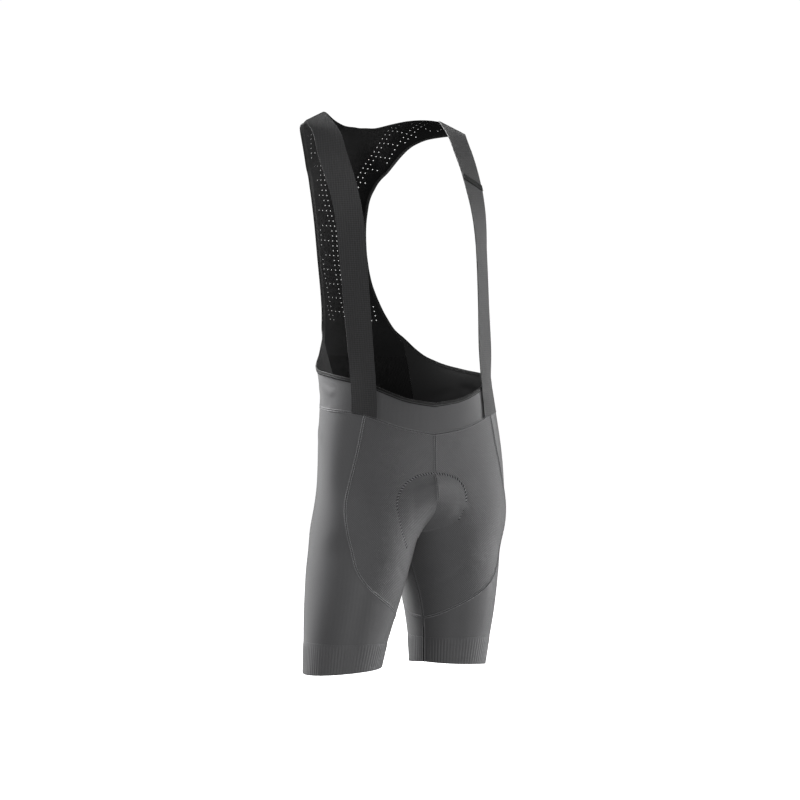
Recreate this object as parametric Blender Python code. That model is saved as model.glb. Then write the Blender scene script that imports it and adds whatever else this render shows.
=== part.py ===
"""Cycling bib shorts, worn: every cut piece of cloth is a thin closed wall of its own.

The cloth stands round a general figure with nobody in it. FIGURE gives that form as
level sections, and the pieces are cut out of the surface that the sections make and
then given their thickness. Tables are in millimetres; a "drop" is the distance below
the shoulders and a "share" is how far round one half of the figure a point lies, from
0 at the front to 1 at the back. The origin is midway between the two shoulder seams,
where the wearer's shoulders carry the garment. +Z is up, the garment faces -Y, and the
wearer's left is +X. The left half is worked out and the right half mirrors it.
"""

import bmesh
import bpy
import numpy as np

MM = 0.001

# Cloth and trim
CLOTH = 1.2
TAPE_THICK = 2.2
TAPE_WIDE = 6.0
STRAP_THICK = 1.5
TAB_THICK = 0.9
TAB_TALL = 10.0
SEAM_GAP = 0.3
STRAP_CLEAR = 0.6
RIB_HIGH = 0.5
RIB_RAMP = 3.0

# Heights that several pieces share
GRIPPER_DROP = 818.0
BACK_SEAM_DROP = 372.0
ARMHOLE_FOOT_DROP = 343.0
SIDE_SEAM_SHARE_TOP = 0.79
SIDE_SEAM_SHARE_FOOT = 0.81
WAIST_DROP = 400.0

# The figure: sections of its left half.
# drop, centre (y), side (x of the outside), inner (x of the leg's inside),
# split_front and split_back (0 one trunk, 1 two legs), front and back (depth from the
# centre), square_front and square_back (2 is an ellipse, more is squarer)
FIGURE = [
    (330, -38, 145, 0, 0.00, 0.00, 100, 124, 2.0, 1.85),
    (372, -50, 148, 0, 0.00, 0.00, 96, 119, 2.2, 1.80),
    (410, -64, 148, 0, 0.00, 0.00, 82, 114, 2.4, 1.80),
    (450, -74, 152, 0, 0.00, 0.00, 74, 110, 2.5, 1.85),
    (500, -84, 158, 0, 0.00, 0.00, 65, 125, 2.5, 1.85),
    (560, -92, 161, 0, 0.02, 0.02, 58, 142, 2.6, 1.82),
    (580, -92, 161, 0, 0.10, 0.05, 60, 142, 2.6, 1.85),
    (595, -90, 161, 0, 0.30, 0.12, 64, 139, 2.6, 1.87),
    (610, -88, 161, 0, 0.58, 0.26, 68, 134, 2.5, 1.90),
    (625, -85, 161, 0, 0.83, 0.48, 72, 128, 2.4, 1.90),
    (640, -81, 161, 0, 0.94, 0.72, 75, 122, 2.3, 1.90),
    (652, -77, 161, 0, 0.98, 0.89, 78, 116, 2.2, 1.90),
    (661, -74, 161, 0, 1.00, 0.96, 80, 111, 2.1, 1.90),
    (668, -72, 161, 0, 1.00, 1.00, 81, 107, 2.0, 1.92),
    (680, -69, 161, 2, 1.00, 1.00, 82, 103, 2.0, 1.95),
    (700, -65, 162, 7, 1.00, 1.00, 83, 99, 2.0, 1.98),
    (745, -57, 163, 17, 1.00, 1.00, 81, 90, 2.0, 2.00),
    (800, -48, 163, 29, 1.00, 1.00, 72, 77, 2.0, 2.00),
    (840, -41, 161, 36, 1.00, 1.00, 65, 68, 2.0, 2.00),
    (880, -35, 160, 40, 1.00, 1.00, 60, 62, 2.0, 2.00),
]

# Seam under the waistband, and the band's finished top edge: share, drop
WAIST_SEAM = [(0.0, 496), (0.15, 486), (0.30, 466), (0.50, 456), (0.81, 444), (1.0, 441)]
BAND_TOP = [
    (0.0, 447),
    (0.12, 440),
    (0.30, 415),
    (0.45, 401),
    (0.58, 392),
    (0.68, 380),
    (0.74, 366),
    (0.79, 343),
]

# Seams between the leg panel and the front and seat panels: row, share, drop.
# The row numbered CORNER_ROW is where each turns in towards the inner leg, and at
# SEAM_FOOT_ROW it reaches the inseam.
FRONT_SEAM = [
    (0, 0.300, 466),
    (1, 0.318, 520),
    (2, 0.338, 560),
    (3, 0.360, 602),
    (4, 0.362, 650),
    (5, 0.332, 694),
    (6, 0.254, 732),
    (7, 0.137, 762),
    (8, 0.055, 780),
    (9, 0.000, 786),
]
SEAT_SEAM = [
    (0, 0.810, 444),
    (1, 0.790, 500),
    (2, 0.765, 555),
    (3, 0.745, 605),
    (4, 0.735, 655),
    (5, 0.745, 700),
    (6, 0.780, 738),
    (7, 0.850, 767),
    (8, 0.930, 782),
    (9, 1.000, 786),
]
CORNER_ROW = 6
SEAM_FOOT_ROW = 9

# Levels down the centre-front seam and the inseam, close together at the crotch: row,
# drop. Above RISE_TURN the centre-back seam is stretched to start at its own height.
RISE = [
    (0, 496),
    (5, 575),
    (7, 598),
    (9, 622),
    (11, 644),
    (13, 661),
    (14, 668),
    (18, 786),
]
RISE_TURN = 575.0

# The inseam lies this far forward of the leg's inside, and comes to it between these drops
INSEAM_FORWARD = np.radians(17)
INSEAM_FORWARD_DROPS = (680.0, 760.0)

# The hem, cut a little higher at the inner leg: share, drop
HEM = [(0.0, 858), (0.2, 862), (0.45, 869), (0.75, 866), (1.0, 858)]

# Back panel: rows that each run from the spine or the neckline (near) to the finished
# edge of the armhole (far). row, near x, y, drop, far x, y, drop, bulge back, bulge up
BIB = [
    (0, 0, 82, 343, 77, 65, 343, 4.0, 0),
    (1, 0, 96, 313, 64, 85, 310, 3.0, 0),
    (2, 0, 107, 287, 57, 98, 285, 2.5, 0),
    (3, 0, 120, 251, 51, 113, 251, 2.0, 0),
    (4, 0, 130, 215, 49, 123, 215, 2.0, 0),
    (5, 0, 135, 185, 49, 128, 185, 2.0, 0),
    (6, 0, 138, 150, 51, 131, 150, 2.0, 0),
    (7, 0, 138, 112, 57, 130, 112, 3.0, 0),
    (8, 0, 132, 80, 63, 125, 94, 4.0, 1),
    (9, 0, 119, 52, 68, 120, 82, 5.0, 2),
    (10, 0, 97, 25, 73, 115, 74, 6.0, 4),
    (11, 0, 70, 1, 79, 109, 66, 6.0, 6),
    (12, 25, 69, 0, 87, 100, 52, 6.0, 6),
    (13, 50, 63, -7, 96, 90, 37, 5.0, 6),
    (14, 73, 45, -13, 107, 77, 23, 4.0, 6),
    (15, 90, 26, -14, 121, 57, 14, 3.0, 5),
    (16, 101, 12, -12.5, 138, 27, 10, 1.5, 3),
    (17, 108, 1, -10, 152, -10, 10, 0, 0),
]
NECK_ROW = 11

# Straps above the band: row, outer edge x, y, drop, inner edge x, y, drop
STRAP = [
    (0, 152, -10, 10, 108, 1, -10),
    (1, 148, -18, 16, 105.5, -22, 8),
    (2, 147, -44, 66, 105.5, -62, 62),
    (3, 142, -79, 140, 103.5, -100, 138),
    (4, 139, -91, 215, 102, -113, 214),
    (5, 136, -101, 300, 100, -121, 300),
    (6, 133, -110, 378, 98, -128, 378),
]
STRAP_ON_BAND_OUT = 131.0
STRAP_ON_BAND_IN = 98.0
STRAP_ON_BAND_DROP = 428.0

# How much further the tape's width reaches when it is measured straight down the band,
# because the band's top slants there
TAPE_SLANT = 1.15

# Strap rows on the band: tape widths below its edge, share of the rest of the way down
# to the waist seam, and whether the tape is under the strap there.
STRAP_ON_BAND = [
    (-0.6, 0.0, True),
    (0.0, 0.0, True),
    (1.0, 0.0, True),
    (1.4, 0.0, False),
    (1.0, 0.33, False),
    (1.0, 0.66, False),
    (1.0, 1.0, False),
]

# The tab's stretch of the strap, as drops, and how much of it the slant leaves over
TAB_SPAN = (80, 108)
TAB_MARGIN = 0.10

# How finely each piece is cut. Columns run round the figure and rows run down it.
FRONT_COLUMNS = 7
SIDE_COLUMNS = 14
SEAT_COLUMNS = 7
HALVES_PER_COLUMN = 6
RISE_STEPS = 3
THIGH_ROWS = 5
SECTION_STEPS = 180
BAND_COLUMNS = 24
BAND_END_ROWS_ABOVE = 3
BAND_END_ROWS_BELOW = 4
BACK_COLUMNS = 8
STRAP_COLUMNS = 4
STRAP_ROWS_ABOVE_TAB = 9
STRAP_ROWS_BELOW_TAB = 10
HALF_WAY_ROUND = 0.5
SHARPEST_CORNER = -0.5
SHARP_EDGE = 40.0

COLOURS = {
    "shell_grey": (0.120, 0.120, 0.123, 1.0),
    "tape_black": (0.010, 0.010, 0.012, 1.0),
    "mesh_black": (0.012, 0.012, 0.016, 1.0),
    "strap_grey": (0.045, 0.045, 0.046, 1.0),
}


def read_rows(rows, at):
    """Smooth curves through every column of a table, read at stations of the first."""
    table = np.array(rows, float)
    at = np.atleast_1d(np.asarray(at, float))
    station = table[:, 0]
    value = table[:, 1:]
    slope = np.gradient(value, station, axis=0)
    low = np.clip(np.searchsorted(station, at, side="right") - 1, 0, len(station) - 2)
    span = (station[low + 1] - station[low])[:, None]
    t = (at - station[low])[:, None] / span
    rise = value[low + 1] - value[low]
    return (
        value[low]
        + rise * t**2 * (3 - 2 * t)
        + slope[low] * span * t * (1 - t) ** 2
        - slope[low + 1] * span * t**2 * (1 - t)
    )


def signed_power(value, power):
    return np.sign(value) * np.abs(value) ** power


def section(drop):
    """The figure's section at each drop: its centre, and for the front and the back each
    lobe's middle, half width, depth and squareness."""
    (centre, side, inner, split_front, split_back, front, back, square_front,
     square_back) = read_rows(FIGURE, drop).T
    halves = []
    for split, depth, square in (split_front, front, square_front), (split_back, back, square_back):
        half = (side - np.maximum(inner, 0)) / (1 + np.clip(split, 0, 1))
        halves.append((side - half, half, depth, square))
    return centre, np.array(halves)


def figure(share, drop, plane=SEAM_GAP / 2):
    """Points of the left half of the figure. plane is where its middle is cut, in x."""
    share = np.asarray(share, float)
    shape = share.shape
    share = share.ravel()
    drop = np.broadcast_to(np.asarray(drop, float), shape).ravel()
    centre, halves = section(drop)

    def turn_at_plane(half_section):
        lobe, half, _, square = half_section
        reach = np.clip((lobe - plane) / half, -1, 1)
        return np.arccos(-signed_power(reach, square / 2))

    def place(turn, middle, halves):
        lobe, half, depth, square = np.where(np.sin(turn) > 0, halves[1], halves[0])
        x = lobe + half * signed_power(np.cos(turn), 2 / square)
        y = middle + depth * signed_power(np.sin(turn), 2 / square)
        return x, y

    steps = np.linspace(0, 1, SECTION_STEPS + 1)
    forward = INSEAM_FORWARD * np.interp(drop, INSEAM_FORWARD_DROPS, (0, 1))
    first = (forward - turn_at_plane(halves[0]))[:, None]
    last = (forward + turn_at_plane(halves[1]))[:, None]
    turns = first + (last - first) * steps
    x, y = place(turns, centre[:, None], halves[..., None])
    run = np.hypot(np.diff(x, axis=1), np.diff(y, axis=1)).cumsum(axis=1)
    run = np.hstack([np.zeros((len(run), 1)), run / run[:, -1:]])
    turn = np.array([np.interp(s, r, t) for s, r, t in zip(share, run, turns)])
    x, y = place(turn, centre, halves)
    x = np.maximum(x, plane)
    return np.stack([x, y, -drop], axis=-1).reshape(shape + (3,))


def figure_outward(points):
    """Unit vectors square to the figure at points on it."""
    flat = points.reshape(-1, 3)
    x, y, drop = flat[:, 0], flat[:, 1], -flat[:, 2]

    def inside(drop):
        centre, halves = section(drop)
        lobe, half, depth, square = np.where(y > centre, halves[1], halves[0])
        across = (x - lobe) / half
        along = (y - centre) / depth
        level = np.abs(across) ** square + np.abs(along) ** square
        return level, across, along, square, half, depth

    _, across, along, square, half, depth = inside(drop)
    slope_x = square * signed_power(across, square - 1) / half
    slope_y = square * signed_power(along, square - 1) / depth
    slope_z = (inside(drop - 1)[0] - inside(drop + 1)[0]) / 2
    out = np.stack([slope_x, slope_y, slope_z], axis=-1)
    out /= np.linalg.norm(out, axis=1, keepdims=True)
    return out.reshape(points.shape)


def outward_of_grid(points, side):
    """Unit vectors square to a grid whose rows run down; side is 1 behind, -1 in front."""
    down = np.gradient(points, axis=0)
    across = np.gradient(points, axis=1)
    out = side * np.cross(across, down)
    return out / np.linalg.norm(out, axis=-1, keepdims=True)


def between(start, end, count):
    """count rows of points from one edge to the other, in straight steps."""
    t = np.linspace(0, 1, count).reshape((-1,) + (1,) * start.ndim)
    return start + (end - start) * t


def fill_patch(top, foot, near, far):
    """Grid of (share, drop) pairs inside four edges that meet at their ends."""
    s = np.linspace(0, 1, len(top))[None, :, None]
    t = np.linspace(0, 1, len(near))[:, None, None]
    corners = (
        (1 - s) * (1 - t) * top[0]
        + s * (1 - t) * top[-1]
        + (1 - s) * t * foot[0]
        + s * t * foot[-1]
    )
    return (1 - t) * top + t * foot + (1 - s) * near[:, None] + s * far[:, None] - corners


def mirrored(points):
    return points * np.array([-1.0, 1.0, 1.0])


class Sheet:
    """An open surface under way: its outer points, which way is out, and its faces."""

    def __init__(self):
        self.points = []
        self.outward = []
        self.raised = []
        self.faces = []

    def add_points(self, points, outward, raised=None):
        start = len(self.points)
        flat = points.reshape(-1, 3)
        self.points.extend(flat)
        self.outward.extend(outward.reshape(-1, 3))
        self.raised.extend(np.zeros(len(flat)) if raised is None else raised.ravel())
        return start + np.arange(len(flat)).reshape(points.shape[:-1])

    def add_grid(self, points, outward, raised=None):
        index = self.add_points(points, outward, raised)
        for upper, lower in zip(index[:-1], index[1:]):
            for i in range(len(upper) - 1):
                self.faces.append((upper[i], lower[i], lower[i + 1], upper[i + 1]))
        return index


def trim_edges(bm, outward, gap):
    """Draw a sheet's edges in by half a seam gap; an edge on the middle plane stays."""
    shift = {}
    for edge in bm.edges:
        if not edge.is_boundary:
            continue
        a, b = edge.verts
        if abs(a.co.x) < SEAM_GAP and abs(b.co.x) < SEAM_GAP:
            continue
        face = edge.link_faces[0]
        out = outward[a.index] + outward[b.index]
        inward = np.cross(out, np.array(b.co - a.co))
        inward /= np.linalg.norm(inward)
        if inward @ np.array(face.calc_center_median() - a.co) < 0:
            inward = -inward
        for vert in (a, b):
            shift.setdefault(vert, []).append(inward)
    for vert, moves in shift.items():
        total = sum(moves)
        if len(moves) == 2:
            total = total / (1 + max(moves[0] @ moves[1], SHARPEST_CORNER))
        vert.co = np.array(vert.co) + total * gap / 2


def make_cloth(name, sheet, thick, material, lift=0.0, mirror=False, gap=SEAM_GAP):
    """Close a sheet into a wall: outer face, plain inner face, and the cut edges."""
    sign = -1.0 if mirror else 1.0
    bm = bmesh.new()
    for point in sheet.points:
        bm.verts.new((point[0] * sign, point[1], point[2]))
    bm.verts.ensure_lookup_table()
    bm.verts.index_update()
    way = bm.verts.layers.float_vector.new("outward")
    high = bm.verts.layers.float.new("raised")
    for vert, out, raised in zip(bm.verts, sheet.outward, sheet.raised):
        vert[way] = (out[0] * sign, out[1], out[2])
        vert[high] = raised
    for corners in sheet.faces:
        face = bm.faces.new([bm.verts[i] for i in corners])
        face.normal_update()
        if face.normal.dot(sum((v[way] for v in face.verts), face.normal * 0)) < 0:
            face.normal_flip()
    bmesh.ops.remove_doubles(bm, verts=bm.verts, dist=1e-3)
    bm.verts.index_update()
    outward = [np.array(vert[way]) for vert in bm.verts]
    trim_edges(bm, outward, gap)

    base = [np.array(vert.co) for vert in bm.verts]
    raised = [vert[high] for vert in bm.verts]
    count = len(base)
    outer = [p + n * (lift + r) for p, n, r in zip(base, outward, raised)]
    inner = [p + n * (lift - thick) for p, n in zip(base, outward)]
    faces = [[v.index for v in face.verts] for face in bm.faces]
    closed = faces + [[i + count for i in reversed(face)] for face in faces]
    for edge in bm.edges:
        if edge.is_boundary:
            face = edge.link_faces[0]
            order = [v.index for v in face.verts]
            a, b = (v.index for v in edge.verts)
            if order[(order.index(a) + 1) % len(order)] != b:
                a, b = b, a
            closed.append([b, a, a + count, b + count])
    bm.free()

    mesh = bpy.data.meshes.new(name)
    mesh.from_pydata([tuple(p * MM) for p in outer + inner], [], closed)
    mesh.validate()
    mesh.update()
    mesh.shade_smooth()
    mesh.set_sharp_from_angle(angle=np.radians(SHARP_EDGE))
    mesh.materials.append(material)
    piece = bpy.data.objects.new(name, mesh)
    garment.objects.link(piece)
    return piece


def make_material(name, roughness):
    material = bpy.data.materials.new(name)
    material.use_nodes = True
    shader = material.node_tree.nodes["Principled BSDF"]
    shader.inputs["Base Color"].default_value = COLOURS[name]
    shader.inputs["Roughness"].default_value = roughness
    shader.inputs["Metallic"].default_value = 0.0
    return material


def waist_seam(share):
    return np.stack([share, read_rows(WAIST_SEAM, share)[:, 0]], axis=-1)


def seam_stretch(rows, first, last, count):
    """(share, drop) pairs along a seam table, from one of its rows to another."""
    return read_rows(rows, np.linspace(first, last, count))


def leg_grids():
    """The grids of (share, drop) that the front, seat and leg panels are cut from."""
    upper = CORNER_ROW * RISE_STEPS + 1
    corner_front = seam_stretch(FRONT_SEAM, CORNER_ROW, CORNER_ROW, 1)[0]
    corner_seat = seam_stretch(SEAT_SEAM, CORNER_ROW, CORNER_ROW, 1)[0]
    front_side = seam_stretch(FRONT_SEAM, 0, CORNER_ROW, upper)
    seat_side = seam_stretch(SEAT_SEAM, 0, CORNER_ROW, upper)
    front_foot = seam_stretch(FRONT_SEAM, SEAM_FOOT_ROW, CORNER_ROW, FRONT_COLUMNS + 1)
    seat_foot = seam_stretch(SEAT_SEAM, CORNER_ROW, SEAM_FOOT_ROW, SEAT_COLUMNS + 1)

    rise = read_rows(RISE, np.linspace(0, RISE[-1][0], upper))[:, 0]
    front_top = waist_seam(np.linspace(0, FRONT_SEAM[0][1], FRONT_COLUMNS + 1))
    seat_top = waist_seam(np.linspace(SEAT_SEAM[0][1], 1, SEAT_COLUMNS + 1))
    side_top = waist_seam(np.linspace(FRONT_SEAM[0][1], SEAT_SEAM[0][1], SIDE_COLUMNS + 1))
    front_side[0] = front_top[-1]
    seat_side[0] = seat_top[0]

    def rise_edge(share, top):
        drop = np.interp(rise, (rise[0], RISE_TURN, rise[-1]), (top, RISE_TURN, rise[-1]))
        return np.stack([np.full(upper, share), drop], axis=-1)

    front = fill_patch(front_top, front_foot, rise_edge(*front_top[0]), front_side)
    seat = fill_patch(seat_top, seat_foot, seat_side, rise_edge(*seat_top[-1]))
    side_foot = between(corner_front, corner_seat, SIDE_COLUMNS + 1)
    side = fill_patch(side_top, side_foot, front_side, seat_side)

    leg_top = np.concatenate([front_foot[:-1], side_foot, seat_foot[1:]])
    columns = FRONT_COLUMNS + SIDE_COLUMNS + SEAT_COLUMNS
    around = np.linspace(0, 1, columns + 1)
    gripper = np.stack([around, np.full(columns + 1, GRIPPER_DROP)], axis=-1)
    leg = between(leg_top, gripper, THIGH_ROWS)
    fine = np.linspace(0, 1, columns * HALVES_PER_COLUMN + 1)
    return front, seat, side, leg, fine


def add_patch(sheet, grid, plane=SEAM_GAP / 2):
    points = figure(grid[..., 0], grid[..., 1], plane)
    return sheet.add_grid(points, figure_outward(points))


def make_leg_panels():
    front, seat, side, leg, fine = leg_grids()
    panels = {"front": Sheet(), "seat": Sheet(), "leg": Sheet()}
    add_patch(panels["front"], front)
    add_patch(panels["seat"], seat)
    add_patch(panels["leg"], side)
    coarse = add_patch(panels["leg"], leg)[-1]

    # The gripper: upright ribs round the hem, over a plain inside.
    share = np.array([fine, fine])
    drop = np.array([np.full(len(fine), GRIPPER_DROP + RIB_RAMP), read_rows(HEM, fine)[:, 0]])
    points = figure(share, drop)
    ribs = np.tile(RIB_HIGH * (np.arange(len(fine)) % 2), (2, 1))
    index = panels["leg"].add_grid(points, figure_outward(points), ribs)
    for i in range(len(coarse) - 1):
        below = index[0][i * HALVES_PER_COLUMN : (i + 1) * HALVES_PER_COLUMN + 1]
        panels["leg"].faces.append((coarse[i], *below, coarse[i + 1]))

    for label, sheet in panels.items():
        make_cloth(f"{label}_left", sheet, CLOTH, grey)
        make_cloth(f"{label}_right", sheet, CLOTH, grey, mirror=True)


def band_edges(share):
    """Finished top edge of the band, and where the tape stops and the cloth begins."""
    edge = np.stack([share, read_rows(BAND_TOP, share)[:, 0]], axis=-1)
    waist = figure(np.linspace(0, 1, SECTION_STEPS + 1), WAIST_DROP, 0)
    girth = np.linalg.norm(np.diff(waist, axis=0), axis=1).sum()
    run = np.gradient(edge[:, 0]) * girth
    fall = np.gradient(edge[:, 1])
    length = np.hypot(run, fall)
    cloth = edge + TAPE_WIDE * np.stack([-fall / length / girth, run / length], axis=-1)
    cloth[0, 0] = 0.0
    return edge, cloth


def side_seam(top):
    """(share, drop) pairs down the seam between the band's end and the back pieces:
    beside the back panel, and beside the lower back."""
    foot = np.array([SIDE_SEAM_SHARE_FOOT, WAIST_SEAM[4][1]])
    way = (BACK_SEAM_DROP - top[1]) / (foot[1] - top[1])
    middle = top + (foot - top) * way
    beside_panel = between(top, middle, BAND_END_ROWS_ABOVE)
    return beside_panel, between(middle, foot, BAND_END_ROWS_BELOW)


def add_both_halves(sheet, points, outward):
    """A left half that starts on the middle plane, and its mirror image."""
    sheet.add_grid(points, outward)
    sheet.add_grid(mirrored(points), mirrored(outward))


def make_band():
    share = np.linspace(0, SIDE_SEAM_SHARE_TOP, BAND_COLUMNS + 1)
    edge, cloth = band_edges(share)
    seam_upper, seam_lower = side_seam(cloth[-1])
    far = np.concatenate([seam_upper, seam_lower[1:]])
    near = between(cloth[0], np.array([0.0, WAIST_SEAM[0][1]]), len(far))
    foot = waist_seam(np.linspace(0, SIDE_SEAM_SHARE_FOOT, BAND_COLUMNS + 1))
    grid = fill_patch(cloth, foot, near, far)
    points = figure(grid[..., 0], grid[..., 1], 0)
    sheet = Sheet()
    add_both_halves(sheet, points, figure_outward(points))
    make_cloth("waistband", sheet, CLOTH, grey)
    return edge, cloth, seam_upper, seam_lower


def make_lower_back(seam):
    """The piece between the band's two ends, under the back panel."""
    around = np.linspace(1, 0, BACK_COLUMNS + 1)
    spine_drop = np.linspace(BACK_SEAM_DROP, WAIST_SEAM[-1][1], len(seam))
    share = 1 - (1 - seam[:, :1]) * (1 - around)
    drop = seam[:, 1:] + (spine_drop[:, None] - seam[:, 1:]) * around
    drop[-1] = read_rows(WAIST_SEAM, share[-1])[:, 0]
    points = figure(share, drop, 0)
    sheet = Sheet()
    add_both_halves(sheet, points, figure_outward(points))
    make_cloth("lower_back", sheet, CLOTH, black)


def crest_outward():
    """Which way is out along the shoulder seam, shared by the strap and the back panel."""
    line = np.array(STRAP[0][1:4]) - np.array(STRAP[0][4:7])
    line = line * np.array([1, 1, -1]) / np.linalg.norm(line)
    out = np.array([0, 0, 1.0]) - line * line[2]
    return out / np.linalg.norm(out)


def bib_grid(joint, seam):
    """The left half of the back panel and its armhole tape, in rows from the top down.

    The last column is the finished armhole edge and the one before it is where the
    tape meets the cloth. joint is where both of these arrive at the band.
    """
    row = np.linspace(len(BIB) - 1, 0, 2 * (len(BIB) - 1) + 1)
    near_x, near_y, near_d, far_x, far_y, far_d, back, up = read_rows(BIB, row).T
    near = np.stack([np.where(row <= NECK_ROW, 0.0, near_x), near_y, -near_d], axis=-1)
    far = np.stack([far_x, far_y, -far_d], axis=-1)
    bulge = np.stack([0 * back, back, up], axis=-1)
    far[-1] = figure(SIDE_SEAM_SHARE_TOP, ARMHOLE_FOOT_DROP, 0)

    along = np.gradient(far, axis=0)
    inward = near - far
    square = inward - along * (np.sum(inward * along, -1) / np.sum(along**2, -1))[:, None]
    square[0] = inward[0]
    tape = far + TAPE_WIDE * square / np.linalg.norm(square, axis=1, keepdims=True)
    q = np.linspace(0, 1, BACK_COLUMNS + 1)[:, None]
    cloth = near[:, None] + (tape - near)[:, None] * q + bulge[:, None] * 4 * q * (1 - q)
    cloth[-1] = figure(np.linspace(1, joint[0], BACK_COLUMNS + 1), joint[1], 0)
    outward = outward_of_grid(np.concatenate([cloth, far[:, None]], axis=1), 1)
    outward[0] = crest_outward()
    on_figure = figure_outward(np.concatenate([cloth[-1], far[-1:]]))
    outward[-1] = on_figure
    outward[row <= NECK_ROW, 0, 0] = 0
    outward /= np.linalg.norm(outward, axis=-1, keepdims=True)

    level = [figure(np.linspace(1, s, BACK_COLUMNS + 1), d, 0) for s, d in seam[1:]]
    cloth = np.concatenate([cloth, level])
    level_outward = figure_outward(np.array(level))
    return cloth, np.concatenate([outward[:, :-1], level_outward]), far, outward[:, -2:]


def make_back_panel_and_tape(edge, cloth, seam):
    panel, outward, armhole, tape_outward = bib_grid(cloth[-1], seam)
    sheet = Sheet()
    add_both_halves(sheet, panel, outward)
    make_cloth("back_mesh", sheet, CLOTH, mesh_black)

    # The tape runs down the armhole edge and on along the band's top to the middle.
    on_armhole = np.stack([armhole, panel[: len(armhole), -1]], axis=1)
    on_band = np.stack([edge, cloth], axis=1)[-2::-1]
    band_points = figure(on_band[..., 0], on_band[..., 1], 0)
    points = np.concatenate([on_armhole, band_points])
    out = np.concatenate([tape_outward[:, ::-1], figure_outward(band_points)])
    sheet = Sheet()
    add_both_halves(sheet, points, out)
    make_cloth("edge_tape", sheet, TAPE_THICK, black, lift=(TAPE_THICK - CLOTH) / 2)


def share_at_x(x, drop):
    """How far round the front of the figure lie the points at a given x and drop."""
    share = np.linspace(0, HALF_WAY_ROUND, SECTION_STEPS + 1)
    across = figure(share, np.full(len(share), drop))[:, 0]
    return np.interp(x, np.maximum.accumulate(across), share)


def strap_grid():
    """The left strap's inner face, in rows from the shoulder seam down to the waist seam."""
    q = np.linspace(0, 1, STRAP_COLUMNS + 1)
    stations = []
    rows = []
    for _, out_x, out_y, out_drop, in_x, in_y, in_drop in STRAP:
        outer = np.array([out_x, out_y, -out_drop])
        inner = np.array([in_x, in_y, -in_drop])
        stations.append((out_drop + in_drop) / 2)
        rows.append(inner + (outer - inner) * q[:, None])
    free = len(STRAP)

    x = STRAP_ON_BAND_IN + (STRAP_ON_BAND_OUT - STRAP_ON_BAND_IN) * q
    share = share_at_x(x, STRAP_ON_BAND_DROP)
    top = read_rows(BAND_TOP, share)[:, 0]
    seam = read_rows(WAIST_SEAM, share)[:, 0] - SEAM_GAP
    over_tape = (TAPE_THICK - CLOTH) / 2 + STRAP_CLEAR
    tape_down = TAPE_WIDE * TAPE_SLANT
    for tapes, far_down, lift in STRAP_ON_BAND:
        start = top + tapes * tape_down
        drop = start + (seam - start) * far_down
        points = figure(share, drop)
        stations.append(drop.mean())
        rows.append(points + figure_outward(points) * (over_tape if lift else STRAP_CLEAR))

    rows = np.array(rows)
    table = np.column_stack([stations, rows.reshape(len(rows), -1)])
    tab_top, tab_foot = TAB_SPAN
    read = np.concatenate([
        np.linspace(stations[0], tab_top, STRAP_ROWS_ABOVE_TAB),
        np.linspace(tab_foot, stations[free - 1], STRAP_ROWS_BELOW_TAB),
        stations[free:],
    ])
    points = read_rows(table, read).reshape(len(read), len(q), 3)
    outward = outward_of_grid(points, -1)
    outward[0] = crest_outward()
    on_band = figure_outward(rows[free:])
    outward[-len(on_band):] = on_band
    return points, outward


def make_straps():
    points, outward = strap_grid()
    sheet = Sheet()
    sheet.add_grid(points, outward)
    make_cloth("strap_left", sheet, STRAP_THICK, strap_grey, lift=STRAP_THICK)
    make_cloth("strap_right", sheet, STRAP_THICK, strap_grey, lift=STRAP_THICK, mirror=True)

    # The tab lies on one stretch of the left strap and slants down towards the arm.
    tab_row = STRAP_ROWS_ABOVE_TAB - 1
    top, foot = points[tab_row], points[tab_row + 1]
    outer_top = top + outward[tab_row] * STRAP_THICK
    outer_foot = foot + outward[tab_row + 1] * STRAP_THICK
    tall = TAB_TALL / (TAB_SPAN[1] - TAB_SPAN[0])
    q = np.linspace(0, 1, STRAP_COLUMNS + 1)
    upper = (1 - tall) * (TAB_MARGIN + (1 - 2 * TAB_MARGIN) * q)[:, None]
    rows = np.array([outer_top + (outer_foot - outer_top) * t for t in (upper, upper + tall)])
    out = np.array([outward[tab_row], outward[tab_row + 1]])
    sheet = Sheet()
    sheet.add_grid(rows, out)
    make_cloth("strap_tab", sheet, TAB_THICK, black, lift=TAB_THICK + SEAM_GAP)


def start_clean():
    for old in list(bpy.data.objects):
        bpy.data.objects.remove(old)


start_clean()
garment = bpy.data.collections.new("cycling_bib_shorts")
bpy.context.scene.collection.children.link(garment)
grey = make_material("shell_grey", 0.62)
black = make_material("tape_black", 0.7)
mesh_black = make_material("mesh_black", 0.75)
strap_grey = make_material("strap_grey", 0.7)
make_leg_panels()
band_edge, band_cloth, seam_above, seam_below = make_band()
make_lower_back(seam_below)
make_back_panel_and_tape(band_edge, band_cloth, seam_above)
make_straps()
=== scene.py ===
"""Looks of the cycling bib shorts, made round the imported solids. Lengths are in metres
unless a line says otherwise. The garment faces -Y, +Z is up and the wearer's left is +X.
"""

from math import atan2, cos, pi, radians, sin, sqrt

import bmesh
import bpy
import numpy as np
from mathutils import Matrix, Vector
from mathutils.bvhtree import BVHTree
from mathutils.geometry import barycentric_transform, delaunay_2d_cdt
from mathutils.kdtree import KDTree


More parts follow.
